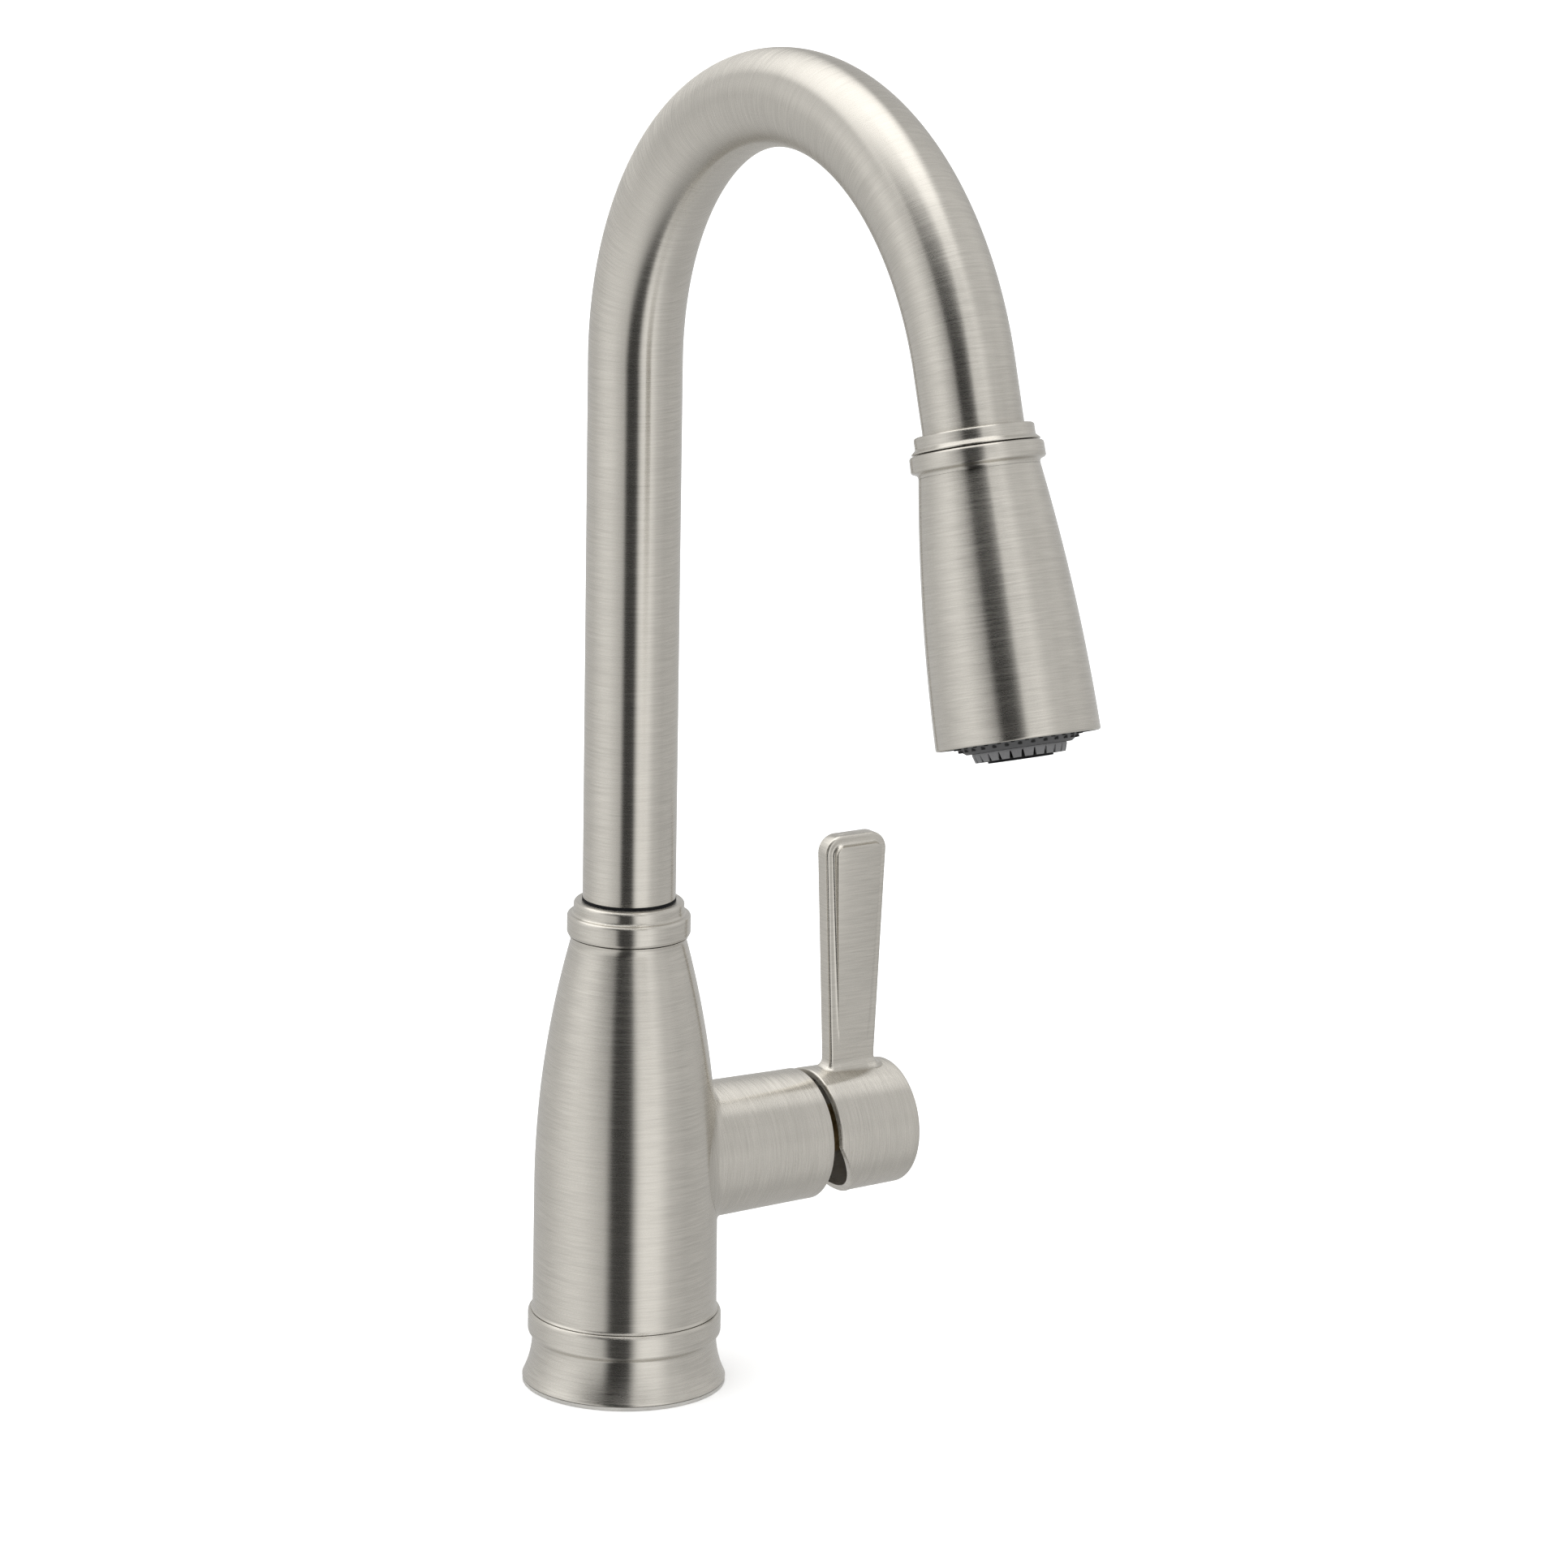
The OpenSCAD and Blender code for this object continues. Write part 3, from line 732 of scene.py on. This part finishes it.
def make_hose():
    """The hose in the body and tube, and a short stretch at the bend's end, along the wand's axis."""
    wall, parts, count = 1.7, 48, 60
    paid_out = 20                       # how much longer the stretch is when the wand is out
    start_z = extent("spray_hose")[0][2]
    skin = Skin()
    sweep(skin, route(start_z, 0), hose_r, hose_r - wall, parts)
    run = finish_mesh("hose_run", skin.bm, [BRAID, BRAID])
    mount(run, "spout", ["spray_hose"])
    skin = Skin()
    steps = [drop_start + (drop_end - drop_start) * k / count for k in range(count + 1)]
    stretch = [(leg @ Matrix.Translation((0, 0, t)), (t - drop_start) * paid_out) for t in steps]
    sweep(skin, stretch, hose_r - 0.12, hose_r - wall + 0.1, parts)
    drop = finish_mesh("hose_drop", skin.bm, [BRAID, BRAID])
    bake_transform(drop)


make_hose()


# ---- handle ----

cap_start, cap_end = cap_low.x, cap_high.x
cap_r, cap_end_r = 18.9, 18.45
lever_x = 75.2
lever_top = cap_high.z
root_z = 91


def cap_rim(radius, turn):
    """Where the cap's rim is: square above the axis, cut away below it."""
    return cap_start + 0.5 * max(0.0, radius * math.cos(turn))


def cap_radius(x):
    """Outer radius of the cap, which narrows a little towards its end."""
    return cap_r + (cap_end_r - cap_r) * (x - cap_start) / (cap_end - cap_start)


def make_cap(skin):
    """The round cap, hollow towards the hub."""
    wall, web_x = 1.9, cap_end - 2.2    # the web closes the hollow behind the cap's end
    inner_r = cap_r - wall
    bevel, edge = 0.5, 1.1              # radii of the rim's and of the end's rounded edge
    shoulder_x = cap_end - edge - 0.1   # where the side passes to the end's edge
    parts, bevel_steps, side_steps = 256, 6, 12
    turns = [TAU * j / parts for j in range(parts)]
    rows, lengths = [], []

    def add_row(place, length=None):
        """A row of points from (radius, x) at each turn. Without a length, x is taken for it."""
        row = []
        for turn in turns:
            radius, x = place(turn)
            spot = Vector((radius * math.cos(turn), radius * math.sin(turn), x))
            row.append(skin.point(hub @ spot, (spot.x, spot.y, length or x)))
        rows.append(row)
        lengths.append(len(rows) * 2.0)

    for k in range(bevel_steps + 1):
        bow = math.pi / 2 * k / bevel_steps
        dr, dx = bevel * (1 - math.sin(bow)), bevel * (1 - math.cos(bow))
        add_row(lambda t: (cap_r - dr, cap_rim(cap_r - dr, t) + dx))
    for k in range(1, side_steps):
        share = k / side_steps
        add_row(lambda t: (
            cap_radius(cap_rim(cap_r, t) + (shoulder_x - cap_rim(cap_r, t)) * share),
            cap_rim(cap_r, t) + bevel + (shoulder_x - bevel - cap_rim(cap_r, t)) * share,
        ))
    for radius, x in arc((cap_end_r - edge, cap_end - edge), edge, 0, math.pi / 2, 10):
        add_row(lambda t: (radius, x), x + cap_end_r - radius)
    for radius in (12.0, 6.0, 0.3):
        add_row(lambda t: (radius, cap_end), cap_end + cap_end_r - radius)
    skin.wrap(rows, lengths, False)
    skin.face([(v, v.co.y * UV_PER_MM, v.co.z * UV_PER_MM) for v in rows[-1]])
    outside = rows
    rows, lengths = [], []
    lip_r = cap_r - 0.9 * wall
    add_row(lambda t: (lip_r, cap_rim(lip_r, t)))
    add_row(lambda t: (inner_r, cap_rim(inner_r, t) + 0.2))
    add_row(lambda t: (inner_r, web_x - 14))
    add_row(lambda t: (inner_r, web_x))
    add_row(lambda t: (7.05, web_x))
    hollow = skin.point(hub @ Vector((0, 0, web_x)), (0, 0, 0))
    skin.wrap(rows + [[hollow]], lengths + [lengths[-1] + 2], False, lambda i: min(i // 2, 1))
    skin.wrap([outside[0], rows[0]], [0, 2], False)


def lever_half_width(z):
    """Half of the lever's width at a height. It widens a little towards the top."""
    return 7.8 + (z - root_z) * 0.044


def make_lever(skin):
    """The lever: a frame with rounded edges, coved up to a raised panel on both faces."""
    corner, edge, thick = 5.3, 0.9, 5.3
    frame_w, cove_w, panel_h, panel_foot = 0.75, 1.2, 2.0, 92
    bevel_w = 0.32                      # width of the fine bevel around the panel
    cove_share = 0.96                   # how much of the panel's rise the cove takes
    fillet, fillet_z = 2.6, 88          # at the lever's foot, and the height that sets its width there
    sunk = 1.2                          # how deep the foot reaches into the cap
    inset = edge + frame_w + cove_w
    edge_steps, cove_steps, fillet_steps, side_steps, corner_steps = 8, 10, 11, 30, 14

    def panel_rise(z):
        """How far the panel stands proud at a height."""
        return panel_h * max(0.0, min(1.0, (z - panel_foot) / (lever_top - inset - panel_foot)))

    # Each row of the front half: inset from the outline, depth below the frame's face, share of the
    # panel's rise, and the normal's turn from the side (0) to the front (1)
    profile = [(0, thick / 2, 0, 0)]
    for k in range(edge_steps + 1):
        bow = math.pi / 2 * k / edge_steps
        profile.append((edge * (1 - math.cos(bow)), edge * (1 - math.sin(bow)), 0, k / edge_steps))
    profile.append((edge + frame_w * 0.5, 0, 0, 1))
    for k in range(cove_steps + 1):
        bow = math.pi / 2 * k / cove_steps
        profile.append((edge + frame_w + cove_w * math.sin(bow), 0, (1 - math.cos(bow)) * cove_share, 1))
    profile.append((inset + bevel_w, 0, 1, 1))

    def path(into, sink, share, turn, face):
        """Points from the left foot over the top to the right foot. face is -1 in front, 1 behind."""
        y = face * (thick / 2 - sink)
        r = max(corner - into, 0.3)
        rim = lever_top - into - r
        side = []
        normal = Vector((math.cos(turn * math.pi / 2), face * math.sin(turn * math.pi / 2)))
        for k in range(fillet_steps + 1):
            bow = math.pi / 2 * k / fillet_steps
            out, rise = fillet * (1 - math.sin(bow)), fillet * (1 - math.cos(bow))
            x = lever_half_width(fillet_z) - into + normal.x * out
            yy = y + normal.y * out
            z = hub_z + math.sqrt(cap_radius(lever_x) ** 2 - yy ** 2) + rise
            if k == 0:
                side.append((x, yy, z - sunk))
            side.append((x, yy, z))
        foot = side[-1][2]
        for k in range(1, side_steps):
            z = foot + (rim - foot) * k / side_steps
            side.append((lever_half_width(z) - into, y + face * share * panel_rise(z), z))
        cx = lever_half_width(rim) - into - r
        for x, z in arc((cx, rim), r, 0, math.pi / 2, corner_steps):
            side.append((x, y + face * share * panel_rise(z), z))
        return [(-x, yy, z) for x, yy, z in side] + [(x, yy, z) for x, yy, z in reversed(side)]

    rows = [path(*row, -1) for row in reversed(profile)] + [path(*row, 1) for row in profile[1:]]
    verts = []
    for row in rows:
        verts.append([skin.point((lever_x + x, y, z), (x, y, z)) for x, y, z in row])
    count = len(verts[0])
    for i in range(len(verts) - 1):
        for j in range(count - 1):
            four = [verts[i][j], verts[i][j + 1], verts[i + 1][j + 1], verts[i + 1][j]]
            skin.face([(v, v.co.z * UV_PER_MM, (v.co.x + v.co.y) * UV_PER_MM) for v in four])
    for row in (verts[0], verts[-1]):
        for j in range(count // 2 - 1):
            four = [row[j], row[j + 1], row[count - 2 - j], row[count - 1 - j]]
            skin.face([(v, v.co.z * UV_PER_MM, v.co.x * UV_PER_MM) for v in four])
    loop = [row[0] for row in verts] + [row[-1] for row in reversed(verts)]
    skin.face([(v, v.co.x * UV_PER_MM, v.co.y * UV_PER_MM) for v in loop])


def make_handle():
    """Cap and lever, one casting."""
    skin = Skin()
    make_cap(skin)
    make_lever(skin)
    piece = finish_mesh("handle_cap", skin.bm, [NICKEL, SATIN])
    mount(piece, "handle", ["handle_cap"])


make_handle()


# ---- floor and light ----

def make_floor():
    """A wide pale floor at the deck plane. The metal mirrors the room instead of it."""
    reach, grey = 6, 0.95               # half of the floor's width, in metres
    bm = bmesh.new()
    bmesh.ops.create_grid(bm, x_segments=1, y_segments=1, size=reach)
    mesh = bpy.data.meshes.new("floor")
    bm.to_mesh(mesh)
    bm.free()
    floor = bpy.data.objects.new("floor", mesh)
    floor.location.z = -0.1 * MM
    floor.visible_glossy = False
    bpy.context.collection.objects.link(floor)
    material, tree, shader = new_material("pale_floor", 0.0, 0.9)
    shader.inputs["Base Color"].default_value = (grey, grey, grey, 1)
    mesh.materials.append(material)


def mingle(tree, low, high, share):
    """A value between low and high."""
    return maths(tree, "ADD", low, maths(tree, "MULTIPLY", maths(tree, "SUBTRACT", high, low), share))


def toward(turn, rise=0.0):
    """Direction at a turn from the camera's own side, positive to its right, and a rise, in degrees."""
    turn, rise = math.radians(turn), math.radians(rise)
    back = Vector((-math.sin(camera_heading), -math.cos(camera_heading), 0))
    right = Vector((math.cos(camera_heading), -math.sin(camera_heading), 0))
    level = back * math.cos(turn) + right * math.sin(turn)
    return level * math.cos(rise) + Vector((0, 0, math.sin(rise)))


def make_world():
    """A white room. The metal mirrors two soft walls of light with a dark gap between them, under a
    bright ceiling. Turns and rises are in degrees, and light is a grey, where 1 is white."""
    ground_light, ceiling_light, soft_light = 0.63, 2.0, 1.6
    world = bpy.data.worlds.new("studio")
    bpy.context.scene.world = world
    world.use_nodes = True
    tree = world.node_tree
    tree.nodes.clear()
    direction = add(tree, "TexCoord").outputs["Generated"]

    def along(axis):
        return add(tree, "VectorMath", {0: direction, 1: axis}, operation="DOT_PRODUCT").outputs["Value"]

    def risen(low, high, to_low=0.0, to_high=1.0):
        """A value that changes between two rises."""
        return span(tree, rise, math.radians(low), math.radians(high), to_low, to_high)

    def by_turn(angle, stops):
        """A value that follows (turn, value) stops around the room."""
        place = span(tree, angle, -math.pi, math.pi)
        return ramp(tree, place, [((stop + 180) / 360, value) for stop, value in stops])

    def disc(middle, outer, inner):
        """1 within the angle inner of a direction, 0 beyond the angle outer."""
        cosines = (math.cos(math.radians(a)) for a in (outer, inner))
        return span(tree, along(middle), *cosines)

    rise = maths(tree, "ARCSINE", along(Vector((0, 0, 1))))
    turn = maths(tree, "ARCTAN2", along(toward(90)), along(toward(0)))
    walls = by_turn(turn, [
        (-180, 0.6), (-110, 0.7), (-73, 0.94), (-55, 1.0), (-38, 0.88), (-22, 0.72),
        (8, 0.8), (26, 1.24), (42, 1.16), (60, 0.74), (82, 0.6), (180, 0.63),
    ])
    light = mingle(tree, walls, ground_light, risen(-45, -70))
    # Higher up, the walls are darker beside the gap and lighter away from it
    upper = by_turn(turn, [
        (-180, 1.0), (-110, 1.32), (-89, 1.32), (-72, 1.08), (-56, 0.62), (-41, 0.34),
        (-27, 0.1), (7, 0.3), (13, 0.75), (27, 0.6), (41, 0.78), (56, 0.95),
        (72, 1.18), (110, 1.4), (150, 1.05), (180, 0.9),
    ])
    light = maths(tree, "MULTIPLY", light, mingle(tree, 1, upper, risen(0, 16)))
    # The dark gap leans to the left as it rises, and more so near its top
    lean_low = maths(tree, "MULTIPLY", risen(0, 25), math.radians(10))
    lean_high = maths(tree, "MULTIPLY", maths(tree, "POWER", risen(25, 42), 2), math.radians(28))
    leaned = maths(tree, "ADD", maths(tree, "ADD", turn, lean_low), lean_high)
    gap = by_turn(leaned, [(-25, 0), (-16, 1), (7, 1), (18, 0)])
    reach = ramp(tree, span(tree, rise, -math.pi / 2, math.pi / 2), [
        ((stop + 90) / 180, value) for stop, value in ((-81, 0), (-64.8, 1), (61.2, 1), (68.4, 0))
    ])
    light = mingle(tree, light, risen(-5, 10, 0.06, 0.0), maths(tree, "MULTIPLY", gap, reach))
    ceiling = maths(tree, "MAXIMUM", disc(toward(-125, 70), 37, 29), disc(toward(20, 82), 22, 14))
    light = mingle(tree, light, ceiling_light, ceiling)
    room = add(tree, "Background", {"Color": light, "Strength": 1.0})
    white = add(tree, "Background", {"Color": (1, 1, 1, 1), "Strength": 1.0})
    soft = add(tree, "Background", {"Color": (1, 1, 1, 1), "Strength": soft_light})
    # What is matt is lit evenly, and the camera sees plain white
    path = add(tree, "LightPath").outputs
    mixed = add(tree, "MixShader", {0: path["Is Diffuse Ray"], 1: room.outputs[0], 2: soft.outputs[0]})
    mixed = add(tree, "MixShader", {0: path["Is Camera Ray"], 1: mixed.outputs[0], 2: white.outputs[0]})
    out = add(tree, "OutputWorld")
    tree.links.new(mixed.outputs[0], out.inputs[0])


def make_lights():
    """A large, weak light overhead, which the metal does not mirror."""
    width, height = 3, 2.5              # metres
    data = bpy.data.lights.new("overhead", "AREA")
    data.shape = "RECTANGLE"
    data.size, data.size_y = width, width
    data.energy = 2
    lamp = bpy.data.objects.new("overhead", data)
    lamp.location = (0, 0, height)
    lamp.visible_glossy = False
    bpy.context.collection.objects.link(lamp)


make_floor()
make_world()
make_lights()
bpy.context.scene.view_settings.view_transform = "Standard"
